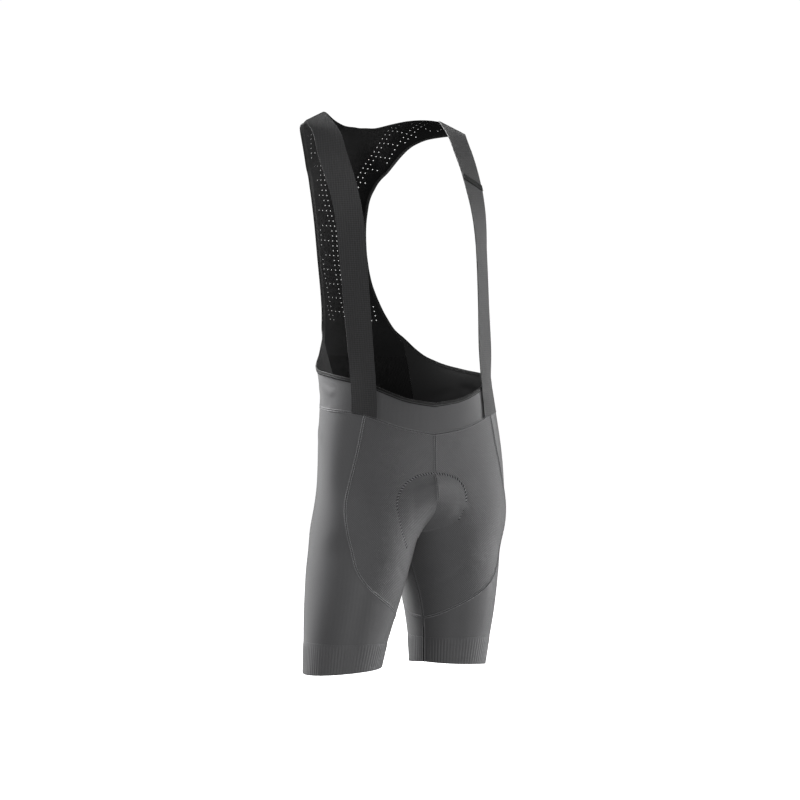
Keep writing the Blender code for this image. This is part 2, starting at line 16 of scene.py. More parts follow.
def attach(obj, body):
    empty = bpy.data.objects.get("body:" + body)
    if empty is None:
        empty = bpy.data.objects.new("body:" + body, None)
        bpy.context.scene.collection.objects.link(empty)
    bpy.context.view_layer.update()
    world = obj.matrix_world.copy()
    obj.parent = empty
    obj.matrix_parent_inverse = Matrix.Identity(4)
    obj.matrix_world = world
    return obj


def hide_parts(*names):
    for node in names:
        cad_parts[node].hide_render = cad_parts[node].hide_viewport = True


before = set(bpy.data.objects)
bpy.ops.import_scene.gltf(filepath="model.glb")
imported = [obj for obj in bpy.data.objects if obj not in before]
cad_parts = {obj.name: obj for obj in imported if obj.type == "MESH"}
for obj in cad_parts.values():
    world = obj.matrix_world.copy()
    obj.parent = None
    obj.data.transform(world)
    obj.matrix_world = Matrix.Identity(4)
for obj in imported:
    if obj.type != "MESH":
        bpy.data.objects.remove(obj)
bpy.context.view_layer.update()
MM = 0.001


# Camera: level with the hips and a third of a right angle to the wearer's right, far
# enough off that the garment looks almost flat on.
view_yaw = radians(33)
view_distance = 3.6
view_width = 1.28
aim_across = 0.0272
aim_height = -0.4426
towards = Vector((-sin(view_yaw), -cos(view_yaw), 0))
across = Vector((cos(view_yaw), -sin(view_yaw), 0))
aim = across * aim_across + Vector((0, 0, aim_height))
bpy.ops.object.camera_add(location=aim + towards * view_distance)
camera = bpy.context.object
camera.rotation_euler = (-towards).to_track_quat("-Z", "Y").to_euler()
camera.data.sensor_width = 36
camera.data.lens = camera.data.sensor_width * view_distance / view_width
bpy.context.scene.camera = camera
bpy.context.scene.view_settings.view_transform = "Standard"


# Studio: two soft boxes stand beside the garment and a little behind it, so that its two
# sides are bright and its front is dark. Three weak ones and the white room fill it in.
box_distance = 2.3
box_wide = 0.8
seen_brightness = 1.02
felt_brightness = 0.04
floor_height = -0.96
floor_radius = 6


class Wire:
    """A shader output. Sums on it add Math nodes to its material."""

    def __init__(self, finish, socket):
        self.finish = finish
        self.socket = socket

    def math(self, operation, *values):
        return self.finish.node("Math", {"operation": operation}, dict(enumerate(values)))

    def __add__(self, other):
        return self.math("ADD", self, other)

    def __radd__(self, other):
        return self.math("ADD", other, self)

    def __sub__(self, other):
        return self.math("SUBTRACT", self, other)

    def __rsub__(self, other):
        return self.math("SUBTRACT", other, self)

    def __mul__(self, other):
        return self.math("MULTIPLY", self, other)

    def __rmul__(self, other):
        return self.math("MULTIPLY", other, self)

    def wave(self, pitch, shift=0.0):
        """Falls from 1 to 0 and rises again once every pitch."""
        return 0.5 + 0.5 * self.math("COSINE", (self + shift) * (2 * pi / pitch))

    def step(self, low, high):
        """Rises smoothly from 0 at low to 1 at high."""
        inputs = {"Value": self, "From Min": low, "From Max": high}
        return self.finish.node("MapRange", {"interpolation_type": "SMOOTHSTEP"}, inputs)


class Finish:
    """A material under way. Roughness, sheen and specular are the same all over it."""

    def __init__(self, name, roughness, sheen=0.0, specular=0.3, colour=0.1):
        self.material = bpy.data.materials.new(name)
        self.material.use_nodes = True
        self.tree = self.material.node_tree
        self.shader = self.tree.nodes["Principled BSDF"]
        self.shader.inputs["Base Color"].default_value = grey(colour)
        self.shader.inputs["Roughness"].default_value = roughness
        self.shader.inputs["Sheen Weight"].default_value = sheen
        self.shader.inputs["Sheen Roughness"].default_value = 0.45
        self.shader.inputs["Specular IOR Level"].default_value = specular

    def node(self, kind, settings=None, inputs=None, output=0):
        made = self.tree.nodes.new("ShaderNode" + kind)
        for name, value in (settings or {}).items():
            setattr(made, name, value)
        for name, value in (inputs or {}).items():
            if isinstance(value, Wire):
                self.tree.links.new(value.socket, made.inputs[name])
            else:
                made.inputs[name].default_value = value
        return Wire(self, made.outputs[output])

    def feed(self, name, wire):
        self.tree.links.new(wire.socket, self.shader.inputs[name])

    def flat_pattern(self):
        """The cloth's own u (round the wearer) and v (up), in metres."""
        place = self.node("UVMap", {"uv_map": "cloth"})
        u = self.node("SeparateXYZ", {}, {"Vector": place})
        return u, Wire(self, u.socket.node.outputs[1])

    def noise(self, size):
        """Blotches of about that size, from 0 to 1."""
        place = self.node("TexCoord", output=3)
        inputs = {"Vector": place, "Scale": 1 / size, "Detail": 2.0}
        return self.node("TexNoise", {}, inputs)

    def between(self, share, dark, light):
        """Base colour from one grey to another."""
        inputs = {0: share, 6: grey(dark), 7: grey(light)}
        self.feed("Base Color", self.node("Mix", {"data_type": "RGBA"}, inputs, 2))

    def raise_by(self, height, distance):
        """Bumps that stand up by distance where height is 1."""
        inputs = {"Height": height, "Distance": distance, "Strength": 1.0}
        self.feed("Normal", self.node("Bump", {}, inputs))


def grey(value):
    """A grey, a little towards blue."""
    return (value, value, value * 1.03, 1.0)


def soft_box(name, turn, rise, tall, power):
    """A soft box aimed at the garment. turn is its angle round the garment, from the
    camera to the camera's right, and rise its angle above the hips."""
    level = across * sin(radians(turn)) + towards * cos(radians(turn))
    way = level * cos(radians(rise)) + Vector((0, 0, sin(radians(rise))))
    place = aim + way * box_distance
    bpy.ops.object.light_add(type="AREA", location=place)
    light = bpy.context.object
    light.name = name
    light.rotation_euler = (aim - place).to_track_quat("-Z", "Y").to_euler()
    light.data.shape = "RECTANGLE"
    light.data.size = box_wide
    light.data.size_y = tall
    light.data.energy = power


soft_box("box_right", turn=-115, rise=40, tall=1.0, power=110)
soft_box("box_left", turn=110, rise=0, tall=2.2, power=53)
soft_box("fill_right", turn=-60, rise=40, tall=1.0, power=28)
soft_box("fill_left", turn=60, rise=-30, tall=1.0, power=13)
soft_box("fill_front", turn=0, rise=-30, tall=1.0, power=12)

# The white room looks bright to the camera and lights the garment only a little.
world = bpy.data.worlds.new("white_room")
bpy.context.scene.world = world
world.use_nodes = True
room = world.node_tree
seen = room.nodes["Background"]
felt = room.nodes.new("ShaderNodeBackground")
for background, brightness in ((seen, seen_brightness), (felt, felt_brightness)):
    background.inputs["Color"].default_value = (1, 1, 1, 1)
    background.inputs["Strength"].default_value = brightness
ray = room.nodes.new("ShaderNodeLightPath")
either = room.nodes.new("ShaderNodeMixShader")
room.links.new(ray.outputs["Is Camera Ray"], either.inputs[0])
room.links.new(felt.outputs[0], either.inputs[1])
room.links.new(seen.outputs[0], either.inputs[2])
room.links.new(either.outputs[0], room.nodes["World Output"].inputs["Surface"])

floor_white = Finish("floor_white", roughness=0.9, colour=0.8)
floor_white.shader.inputs["Emission Color"].default_value = (1, 1, 1, 1)
floor_white.shader.inputs["Emission Strength"].default_value = 1.0
floor_place = (0, 0, floor_height)
bpy.ops.object.select_all(action="DESELECT")
bpy.ops.mesh.primitive_circle_add(vertices=96, radius=floor_radius, fill_type="NGON", location=floor_place)
floor = bpy.context.object
floor.name = "floor"
floor.data.materials.append(floor_white.material)
floor.visible_diffuse = False
floor.visible_glossy = False
floor.visible_shadow = False


# Front panels: two pieces of grey knitted cloth with a fine slanting grain, from the
# waist seam to the inner thigh. The seat pad behind them pushes them out a little.
def pick(*pieces):
    """Only these are selected, and the first is active."""
    bpy.ops.object.select_all(action="DESELECT")
    for piece in pieces:
        piece.select_set(True)
    bpy.context.view_layer.objects.active = pieces[0]


def apply_modifier(piece, kind, **settings):
    pick(piece)
    modifier = piece.modifiers.new(kind.lower(), kind)
    for name, value in settings.items():
        setattr(modifier, name, value)
    bpy.ops.object.modifier_apply(modifier=modifier.name)


def edit_all(piece, *steps):
    """Runs operators in edit mode, each with the whole piece selected."""
    pick(piece)
    bpy.ops.object.mode_set(mode="EDIT")
    for operator, settings in steps:
        bpy.ops.mesh.select_all(action="SELECT")
        operator(**settings)
    bpy.ops.object.mode_set(mode="OBJECT")


def points_of(piece, kind="co"):
    """The places, or with "normal" the outward directions, of a piece's points."""
    flat = np.zeros(len(piece.data.vertices) * 3)
    piece.data.vertices.foreach_get(kind, flat)
    return flat.reshape(-1, 3)


def move_points(piece, places):
    piece.data.vertices.foreach_set("co", places.ravel())
    piece.data.update()


def corners_of(mesh):
    """For each corner of a mesh's faces, its place in the UV map and its point's number."""
    flat = np.zeros(len(mesh.loops) * 2)
    mesh.uv_layers[0].data.foreach_get("uv", flat)
    owner = np.zeros(len(mesh.loops), int)
    mesh.loops.foreach_get("vertex_index", owner)
    return flat.reshape(-1, 2), owner


def pair_triangles(mesh):
    """Joins a sheet's triangles two by two into the rows and columns they were cut
    from. It starts in the corners, where only one four-sided face can lie, and on a
    tube, which has none, beside an edge that runs square to its rim."""
    bm = bmesh.new()
    bm.from_mesh(mesh)
    # How many four-sided faces can still meet at each point.
    places_left = {}
    for vert in bm.verts:
        turn = sum(loop.calc_angle() for loop in vert.link_loops)
        places_left[vert] = max(round(turn / (pi / 2)), 1) if vert.is_boundary else 4
    joined = set()
    diagonals = []

    def join(left, shared):
        joined.update(left)
        diagonals.append(shared)
        # Each corner once, in an order that is the same in every run.
        corners = list(dict.fromkeys(corner for face in left for corner in face.verts))
        for corner in corners:
            places_left[corner] -= 1
        return corners

    def spread(waiting):
        while waiting:
            vert = waiting.pop()
            left = [face for face in vert.link_faces if face not in joined]
            if places_left[vert] != 1 or not 0 < len(left) < 3:
                continue
            if len(left) == 1:
                shared = next(edge for edge in left[0].edges if vert not in edge.verts)
                left = [face for face in shared.link_faces if face not in joined]
            else:
                shared = next((e for e in left[0].edges if e in left[1].edges[:]), None)
            if shared is not None and len(left) == 2:
                waiting.extend(join(left, shared))

    spread(list(bm.verts))
    for vert in bm.verts:
        left = [face for face in vert.link_faces if face not in joined]
        if places_left[vert] != 2 or len(left) != 3:
            continue
        ways = {}
        for edge in vert.link_edges:
            beside = sum(face in left for face in edge.link_faces)
            if beside:
                way = (edge.other_vert(vert).co - vert.co).normalized()
                ways.setdefault(beside, []).append((way, edge))
        along = (ways[1][0][0] - ways[1][1][0]).normalized()
        slanting = max(ways[2], key=lambda pair: abs(pair[0].dot(along)))[1]
        spread(join(slanting.link_faces[:], slanting))
    bmesh.ops.dissolve_edges(bm, edges=diagonals, use_verts=False)
    bm.to_mesh(mesh)
    bm.free()


def outer_wall(node, name, way, above=-1.0, turn_at=radians(60)):
    """The outer face of a node's wall, as an open sheet, down to the height above. way
    points at that face, and turn_at is how sharply the wall turns at its edges."""
    piece = bpy.data.objects.new(name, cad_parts[node].data.copy())
    bpy.context.scene.collection.objects.link(piece)
    piece.data.materials.clear()
    merge = (bpy.ops.mesh.remove_doubles, {"threshold": 0.02 * MM})
    by_face = (bpy.ops.mesh.select_mode, {"type": "FACE"})
    nothing = (bpy.ops.mesh.select_all, {"action": "DESELECT"})
    edit_all(piece, by_face, merge, nothing)
    way = Vector(way)
    facing = [face for face in piece.data.polygons if face.normal.dot(way) > 0.5]
    max(facing, key=lambda face: face.center.dot(way)).select = True
    bpy.ops.object.mode_set(mode="EDIT")
    bpy.ops.mesh.faces_select_linked_flat(sharpness=turn_at)
    bpy.ops.mesh.select_all(action="INVERT")
    bpy.ops.mesh.delete(type="FACE")
    bpy.ops.object.mode_set(mode="OBJECT")
    for face in piece.data.polygons:
        face.select = face.center.z < above
    bpy.ops.object.mode_set(mode="EDIT")
    bpy.ops.mesh.delete(type="FACE")
    bpy.ops.object.mode_set(mode="OBJECT")
    pair_triangles(piece.data)
    return piece


def lay_flat(piece, cut=()):
    """A UV map that is the piece laid flat, in metres, with v up. cut names the edges
    that have to open first, by their two points."""
    mesh = piece.data
    for edge in mesh.edges:
        edge.use_seam = frozenset(edge.vertices) in cut
    while mesh.uv_layers:
        mesh.uv_layers.remove(mesh.uv_layers[0])
    mesh.uv_layers.new(name="cloth")
    edit_all(piece, (bpy.ops.uv.unwrap, {"method": "ANGLE_BASED", "margin": 0}))
    flat, owner = corners_of(mesh)
    flat_area = 0
    for face in mesh.polygons:
        corner = flat[list(face.loop_indices)]
        following = np.roll(corner, -1, axis=0)
        flat_area += abs(np.sum(corner[:, 0] * following[:, 1] - corner[:, 1] * following[:, 0])) / 2
    flat *= sqrt(sum(face.area for face in mesh.polygons) / flat_area)
    height = points_of(piece)[owner, 2]
    fit = np.linalg.lstsq(np.column_stack([flat, np.ones(len(flat))]), height, rcond=None)[0]
    up = fit[:2] / np.linalg.norm(fit[:2])
    flat = np.column_stack([flat @ np.array([up[1], -up[0]]), flat @ up])
    flat -= (flat.min(axis=0) + flat.max(axis=0)) / 2
    mesh.uv_layers[0].data.foreach_set("uv", flat.ravel())


def edge_loops(piece):
    """The open edges of a sheet, as closed runs of its points' numbers."""
    mesh = piece.data
    used = {}
    for face in mesh.polygons:
        for key in face.edge_keys:
            used[key] = used.get(key, 0) + 1
    beside = {}
    for (a, b), count in used.items():
        if count == 1:
            beside.setdefault(a, []).append(b)
            beside.setdefault(b, []).append(a)
    loops = []
    left = set(beside)
    while left:
        loop = [left.pop()]
        while True:
            onward = [i for i in beside[loop[-1]] if i in left]
            if not onward:
                break
            loop.append(onward[0])
            left.discard(onward[0])
        loops.append(loop)
    return loops


def smooth(piece, level, corner=radians(40)):
    """Rounds the sheet off between its points, and keeps the sharp corners of its edge."""
    places = points_of(piece)
    sharp = piece.data.attributes.new("crease_vert", "FLOAT", "POINT")
    for loop in edge_loops(piece):
        ahead = np.roll(places[loop], -1, axis=0) - places[loop]
        ahead /= np.linalg.norm(ahead, axis=1, keepdims=True)
        turn = np.arccos(np.clip(np.sum(ahead * np.roll(ahead, 1, axis=0), axis=1), -1, 1))
        for point, angle in zip(loop, turn):
            sharp.data[point].value = float(angle > corner)
    apply_modifier(piece, "SUBSURF", levels=level, render_levels=level)


# By node, the edges of its cloth: rows of a place and the outward direction there.
edges = {}


def keep_edges(node, piece):
    """Notes where a sheet's edges run, before it is given its thickness."""
    places, outward = points_of(piece), points_of(piece, "normal")
    edges[node] = [np.hstack([places[loop], outward[loop]]) for loop in edge_loops(piece)]


def close_cloth(piece, thick, finish, node):
    apply_modifier(piece, "SOLIDIFY", thickness=thick, offset=-1)
    piece.data.materials.append(finish.material)
    dress(piece, node)


def dress(piece, node):
    """Shades the piece and puts it in its node's stead."""
    pick(piece)
    bpy.ops.object.shade_smooth_by_angle(angle=radians(50))
    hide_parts(node)
    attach(piece, "root")


cloth_thick = 1.1 * MM

# Soft folds, in mm: the face they show on, their two ends (across, z), half their
# width, and how high they stand. Across is x in front and behind, and y at the sides.
fold_faces = {"front": (0, -1, 0), "back": (0, 1, 0), "left": (1, 0, 0), "right": (-1, 0, 0)}
folds = [
    ("right", -85, -432, -40, -418, 9, 0.9), ("right", -78, -452, -28, -436, 10, -0.8),
    ("right", -20, -425, 18, -440, 9, 0.7), ("right", -60, -500, 0, -480, 16, 0.9),
    ("left", -80, -436, -30, -424, 9, 0.8), ("left", -10, -430, 26, -446, 9, 0.7),
    ("left", -66, -512, -8, -488, 15, 0.9),
    ("front", -92, -690, -46, -674, 9, 0.5), ("front", 90, -694, 44, -678, 9, 0.5),
    ("front", 8, -604, 52, -607, 9, 0.9), ("front", -60, -700, -36, -726, 8, -0.7),
    ("front", 58, -704, 34, -730, 8, -0.7),
    ("back", -96, -652, -30, -668, 12, -1.1), ("back", 88, -658, 34, -667, 11, -1.0),
    ("back", -84, -686, -40, -698, 11, 0.6), ("back", 80, -690, 44, -699, 12, 0.5),
    ("back", -20, -462, -6, -500, 14, -0.4), ("back", 14, -470, 5, -512, 12, -0.4),
    ("back", -62, -460, -34, -454, 12, 0.5), ("back", 56, -462, 36, -457, 11, 0.4),
]


def fold_cloth(piece):
    """Lays the folds that lie on the piece."""
    places, outward = points_of(piece), points_of(piece, "normal")
    raised = np.zeros(len(places))
    for face, across_a, z_a, across_b, z_b, half, high in folds:
        shown = np.clip(outward @ np.array(fold_faces[face]), 0, 1)
        flat = places[:, [1, 2]] if face in ("left", "right") else places[:, [0, 2]]
        start = np.array([across_a, z_a]) * MM
        length = np.array([across_b, z_b]) * MM - start
        along = np.clip((flat - start) @ length / (length @ length), 0, 1)
        off = np.linalg.norm(flat - start - along[:, None] * length, axis=1) / (half * MM)
        raised += high * MM * shown * np.where(off < 1, (1 - np.clip(off, 0, 1) ** 2) ** 2, 0)
    move_points(piece, places + outward * raised[:, None])


# The seat pad's sewn outline in front, as x and z in mm, from the right thigh round
# to the left one, and how far the pad lifts the cloth: all over, and at the centre,
# where it is bent.
pad_outline = [(-48, -670), (-65, -642), (-74, -607), (-71, -590), (-56, -571), (-31, -558),
               (0, -555), (26, -559), (45, -566), (56, -580), (57, -600), (48, -618), (42, -630)]
pad_high = 1.3 * MM
pad_ridge = 3.6 * MM
pad_ridge_half = 42 * MM
pad_slope = 22 * MM
pad_low_end = -0.672
pad_low_fade = 0.05
pad_groove = 0.35 * MM
pad_groove_half = 2.4 * MM


def pad_cloth(piece):
    """Lifts the cloth inside the pad's outline, and sinks it a little along the line."""
    places, outward = points_of(piece), points_of(piece, "normal")
    line = np.array(pad_outline) * MM
    flat = places[:, [0, 2]]
    inside = np.zeros(len(flat), bool)
    nearest = np.full(len(flat), 1.0)
    for i, (start, end) in enumerate(zip(line, np.roll(line, -1, axis=0))):
        spans = (start[1] > flat[:, 1]) != (end[1] > flat[:, 1])
        crossing = start[0] + (flat[:, 1] - start[1]) * (end[0] - start[0]) / (end[1] - start[1])
        inside ^= spans & (flat[:, 0] < crossing)
        if i < len(line) - 1:
            along = np.clip((flat - start) @ (end - start) / ((end - start) @ (end - start)), 0, 1)
            gap = np.linalg.norm(flat - start - along[:, None] * (end - start), axis=1)
            nearest = np.minimum(nearest, gap)
    rise = np.clip(nearest / pad_slope, 0, 1)
    rise = rise * rise * (3 - 2 * rise)
    fade = np.clip((flat[:, 1] - pad_low_end) / pad_low_fade, 0, 1)
    groove = np.exp(-((nearest / pad_groove_half) ** 2))
    centre = np.clip(1 - np.abs(flat[:, 0]) / pad_ridge_half, 0, 1)
    raised = (pad_high + pad_ridge * centre) * rise * fade * inside - pad_groove * groove
    move_points(piece, places + outward * raised[:, None])


pique = Finish("grey_pique", roughness=0.58, sheen=0.3)
u, v = pique.flat_pattern()
slant = (u + v).wave(3.4 * MM) * (u - v).wave(3.4 * MM)
course = v.wave(8.5 * MM)
fuzz = pique.noise(1.2 * MM)
cloud = pique.noise(60 * MM)
pique.raise_by(slant + course * 0.25 + fuzz * 0.5, 0.3 * MM)
pique.between(slant * 0.45 + fuzz * 0.35 + cloud * 0.2, 0.083, 0.168)

for name in ("front_left", "front_right"):
    panel = outer_wall(name, name + "_cloth", (0, -1, 0))
    lay_flat(panel)
    smooth(panel, 3)
    fold_cloth(panel)
    pad_cloth(panel)
    keep_edges(name, panel)
    close_cloth(panel, cloth_thick, pique, name)


# Leg panels: the same cloth in a smooth knit, one piece for the side of the hip and the
# whole lower leg, closed by the inseam. A ribbed gripper is knitted in at the hem, and
# the hem is the cloth's cut edge.
gripper_top = -0.818
gripper_tall = 0.045
gripper_tuck = 0.25 * MM
rib_count = 84
rib_steps = 6
rib_high = 0.5 * MM
inseam_over_ribs = 0.3 * MM
inseam_steep = 0.8
merge_gap = 0.001 * MM
# The gripper's rows, from the leg's edge down to the hem: the share of the way, how far
# out in mm, and how much of the ribs' height.
gripper_rows = [
    (0.002, 0, 0), (0.03, 0, 0.1), (0.08, 0, 0.5), (0.15, 0, 1), (0.25, 0, 1), (0.45, 0, 1),
    (0.65, 0, 1), (0.82, 0, 1), (0.94, 0, 1), (0.985, -0.1, 1), (1.0, -0.3, 0.8),
]

lycra = Finish("grey_lycra", roughness=0.5, sheen=0.35)
u, v = lycra.flat_pattern()
wale = u.wave(2.1 * MM)
fuzz = lycra.noise(1.0 * MM)
cloud = lycra.noise(70 * MM)
lycra.raise_by(wale * 0.6 + fuzz * 0.5, 0.12 * MM)
lycra.between(wale * 0.3 + fuzz * 0.4 + cloud * 0.3, 0.085, 0.14)

ribbed = Finish("grey_ribbed", roughness=0.5, sheen=0.35)
u, v = ribbed.flat_pattern()
fuzz = ribbed.noise(1.0 * MM)
ribbed.raise_by(v.wave(1.3 * MM) * 0.4 + fuzz * 0.5, 0.12 * MM)
ribbed.between(fuzz + u.wave(1.0) * 0.15, 0.09, 0.135)


def unit(vectors):
    return vectors / np.linalg.norm(vectors, axis=-1, keepdims=True)


def linked(name, mesh):
    piece = bpy.data.objects.new(name, mesh)
    bpy.context.scene.collection.objects.link(piece)
    return piece


def mesh_of_rows(name, rows, across, along):
    """A sheet through rows of points. across and along are its UV map's two scales."""
    count, width = rows.shape[:2]
    faces = []
    flat = []
    for i in range(count - 1):
        for j in range(width - 1):
            a = i * width + j
            faces.append((a, a + width, a + width + 1, a + 1))
            flat.extend([(across[j], along[i]), (across[j], along[i + 1]),
                         (across[j + 1], along[i + 1]), (across[j + 1], along[i])])
    mesh = bpy.data.meshes.new(name)
    mesh.from_pydata(rows.reshape(-1, 3).tolist(), [], faces)
    layer = mesh.uv_layers.new(name="cloth")
    layer.data.foreach_set("uv", np.array(flat).ravel())
    return linked(name, mesh)


def around(points):
    """A ring of points as its middle, and by turn round it: distance out, and height."""
    middle = points[:, :2].mean(axis=0)
    offset = points[:, :2] - middle
    turn = np.arctan2(offset[:, 1], offset[:, 0])
    order = np.argsort(turn)
    return middle, turn[order], np.linalg.norm(offset, axis=1)[order], points[order, 2]


def read_ring(ring, turn):
    middle, known, reach, height = ring
    reach = np.interp(turn, known, reach, period=2 * pi)
    height = np.interp(turn, known, height, period=2 * pi)
    return middle, reach, height


def lowest_loop(piece):
    places = points_of(piece)
    return min((places[loop] for loop in edge_loops(piece)), key=lambda ring: ring[:, 2].max())


def inseam_of(leg):
    """The points down the inseam, from the lowest point of the leg panel's top edge."""
    points = leg.data.vertices
    heights = points_of(leg)[:, 2]
    top_edge = max(edge_loops(leg), key=lambda loop: heights[loop].max())
    down = {}
    for edge in leg.data.edges:
        a, b = sorted(edge.vertices, key=lambda i: -points[i].co.z)
        drop = points[a].co - points[b].co
        down.setdefault(a, []).append((drop.z / drop.length, b))
    column = [min(top_edge, key=lambda i: heights[i])]
    while column[-1] in down and max(down[column[-1]])[0] > inseam_steep:
        column.append(max(down[column[-1]])[1])
    return column


# Round the gripper: the turn of each point, and how far its ribs stand out there.
round_turns = np.linspace(-pi, pi, rib_count * rib_steps + 1)
ribs = rib_high * (0.5 + 0.5 * np.cos(np.arange(len(round_turns)) * 2 * pi / rib_steps))


def gripper_places(top, hem):
    """Rows of points from one ring down to the other, with the ribs."""
    shares, outs, ribbing = np.array(gripper_rows).T
    middle_top, reach_top, height_top = read_ring(top, round_turns)
    middle_hem, reach_hem, height_hem = read_ring(hem, round_turns)
    middle = middle_top + np.outer(shares, middle_hem - middle_top)
    reach = reach_top + np.outer(shares, reach_hem - reach_top)
    reach = reach + outs[:, None] * MM + np.outer(ribbing, ribs)
    x = middle[:, :1] + reach * np.cos(round_turns)
    y = middle[:, 1:] + reach * np.sin(round_turns)
    height = height_top + np.outer(shares, height_hem - height_top)
    rows = np.stack([x, y, height], axis=2)
    rows[:, -1] = rows[:, 0]
    return rows, -gripper_tall * shares


def inseam_on(rows, seam_line, middle):
    """The inseam's line carried on down over the gripper's ribs."""
    foot, out = seam_line[-1, :3], seam_line[-1, 3:]
    seam_turn = atan2(foot[1] - middle[1], foot[0] - middle[0])
    beside_seam = int(np.argmin(np.abs(round_turns - seam_turn)))
    on_ribs = rows[1:, beside_seam] + out * (rib_high - ribs[beside_seam] + inseam_over_ribs)
    return np.vstack([seam_line, np.hstack([on_ribs, np.tile(out, (len(on_ribs), 1))])])


# By leg, the line of its inseam: rows of a place and the outward direction there.
inseams = {}
# Both hems are made from the right leg's, mirrored for the left.
whole = outer_wall("leg_right", "leg_right_hem", (-1, 0, 0))
hem_places = lowest_loop(whole)
bpy.data.objects.remove(whole)

for side, name in ((1, "leg_left"), (-1, "leg_right")):
    leg = outer_wall(name, name + "_cloth", (side, 0, 0), above=gripper_top)
    column = inseam_of(leg)
    seam_line = np.hstack([points_of(leg)[column], points_of(leg, "normal")[column]])
    lay_flat(leg, {frozenset(pair) for pair in zip(column, column[1:])})
    smooth(leg, 2)
    fold_cloth(leg)
    keep_edges(name, leg)

    top = around(lowest_loop(leg))
    middle, known, reach, height = around(hem_places * np.array([-side, 1, 1]))
    reach = (np.roll(reach, 1) + 2 * reach + np.roll(reach, -1)) / 4 - gripper_tuck
    rows, rows_down = gripper_places(top, (middle, known, reach, height))
    inseams[name] = inseam_on(rows, seam_line, top[0])
    rows_round = np.arange(len(round_turns)) / rib_steps
    gripper = mesh_of_rows(name.replace("leg", "gripper") + "_cloth", rows, rows_round, rows_down)
    edit_all(gripper, (bpy.ops.mesh.remove_doubles, {"threshold": merge_gap}))
    first = gripper.data.polygons[0]
    if first.normal.dot(first.center - Vector((*top[0], gripper_top))) < 0:
        gripper.data.flip_normals()
    close_cloth(gripper, 1.0 * MM, ribbed, name)
    close_cloth(leg, cloth_thick, lycra, name)


# Seat panels: the same smooth knit behind, joined by the centre-back seam.
for name in ("seat_left", "seat_right"):
    panel = outer_wall(name, name + "_cloth", (0, 1, 0), turn_at=radians(75))
    lay_flat(panel)
    smooth(panel, 3)
    fold_cloth(panel)
    keep_edges(name, panel)
    close_cloth(panel, cloth_thick, lycra, name)


# Waistband: one grey band of the smooth knit, cut low in front and high behind.
# The band's inner face is the same grey knit, coloured near black: painted shade for the shade inside the
# garment.
band_inside_painted_shade = Finish("band_inside_painted_shade", roughness=0.6, sheen=0.1, colour=0.012)

band = outer_wall("waistband", "waistband_cloth", (0, -1, 0))
lay_flat(band)
smooth(band, 2)
fold_cloth(band)
keep_edges("waistband", band)
band.data.materials.append(lycra.material)
band.data.materials.append(band_inside_painted_shade.material)
apply_modifier(band, "SOLIDIFY", thickness=cloth_thick, offset=-1, material_offset=1)
dress(band, "waistband")


# Lower back: a black piece between the band's two ends, closely ribbed up and down.
black_rib = Finish("black_rib", roughness=0.7, sheen=0.04, specular=0.15)
u, v = black_rib.flat_pattern()
black_rib.raise_by(u.wave(2.6 * MM) + v.wave(1.2 * MM) * 0.2, 0.5 * MM)
black_rib.between(u.wave(2.6 * MM), 0.002, 0.009)

back = outer_wall("lower_back", "lower_back_cloth", (0, 1, 0))
lay_flat(back)
smooth(back, 3)
keep_edges("lower_back", back)
close_cloth(back, cloth_thick, black_rib, "lower_back")


# Back panel: black perforated knit that narrows between the shoulder blades and splits
# into two arms up to the shoulders. Its holes stand in pairs of columns that lean out
# with the arms, and every third row runs right across.
hole_half = 0.95 * MM
hole_sides = 8
hole_pitch = 8.2 * MM
pair_pitch = 4
row_pitch = 3
hole_margin = 6.5 * MM
holes_end = -0.318
lean = 0.3
lean_from = -0.01
mesh_grid = 7.0 * MM
mesh_margin = 2 * MM
in_hole = 0.9

black_mesh = Finish("black_mesh", roughness=0.75, sheen=0.04, specular=0.15)
u, v = black_mesh.flat_pattern()
black_mesh.raise_by(u.wave(1.5 * MM) * v.wave(1.5 * MM), 0.25 * MM)
black_mesh.between(u.wave(1.5 * MM) * v.wave(1.5 * MM), 0.008, 0.022)

panel = outer_wall("back_mesh", "back_mesh_cloth", (0, 1, 0))
lay_flat(panel)
smooth(panel, 2)
keep_edges("back_mesh", panel)
rim = edge_loops(panel)[0]
whole = panel.data
whole.calc_loop_triangles()
corner_flat, owner = corners_of(whole)
flat = np.zeros((len(whole.vertices), 2))
flat[owner] = corner_flat
places = points_of(panel)
triangles = [tuple(triangle.vertices) for triangle in whole.loop_triangles]
lying = BVHTree.FromPolygons([(a, b, 0) for a, b in flat], triangles)


def worn_place(spot):
    """Where a spot of the flat pattern lies on the worn panel, or None outside it."""
    _, _, number, distance = lying.find_nearest(Vector((*spot, 0)))
    if distance > 0.01 * MM:
        return None
    corners = triangles[number]
    lying_corners = [Vector((*flat[i], 0)) for i in corners]
    worn_corners = [Vector(places[i]) for i in corners]
    return barycentric_transform(Vector((*spot, 0)), *lying_corners, *worn_corners)


def tree_of(points):
    tree = KDTree(len(points))
    for i, point in enumerate(points):
        tree.insert(point, i)
    tree.balance()
    return tree


def hole_centres(low, high, rim_tree):
    """The middles of the holes in the flat pattern, on both sides of its middle line."""
    centres = []
    for row in range(int(low[1] / hole_pitch) - 1, int(high[1] / hole_pitch) + 2):
        for column in range(int(high[0] / hole_pitch) + 2):
            if row % row_pitch and column % pair_pitch > 1:
                continue
            up = row * hole_pitch
            shift = (column + 0.5) * hole_pitch + lean * max(up - lean_from, 0)
            for spot in ((shift, up), (-shift, up)):
                place = worn_place(spot)
                if place is None or place.z < holes_end:
                    continue
                if rim_tree.find((*spot, 0))[2] >= hole_margin:
                    centres.append(spot)
    return centres


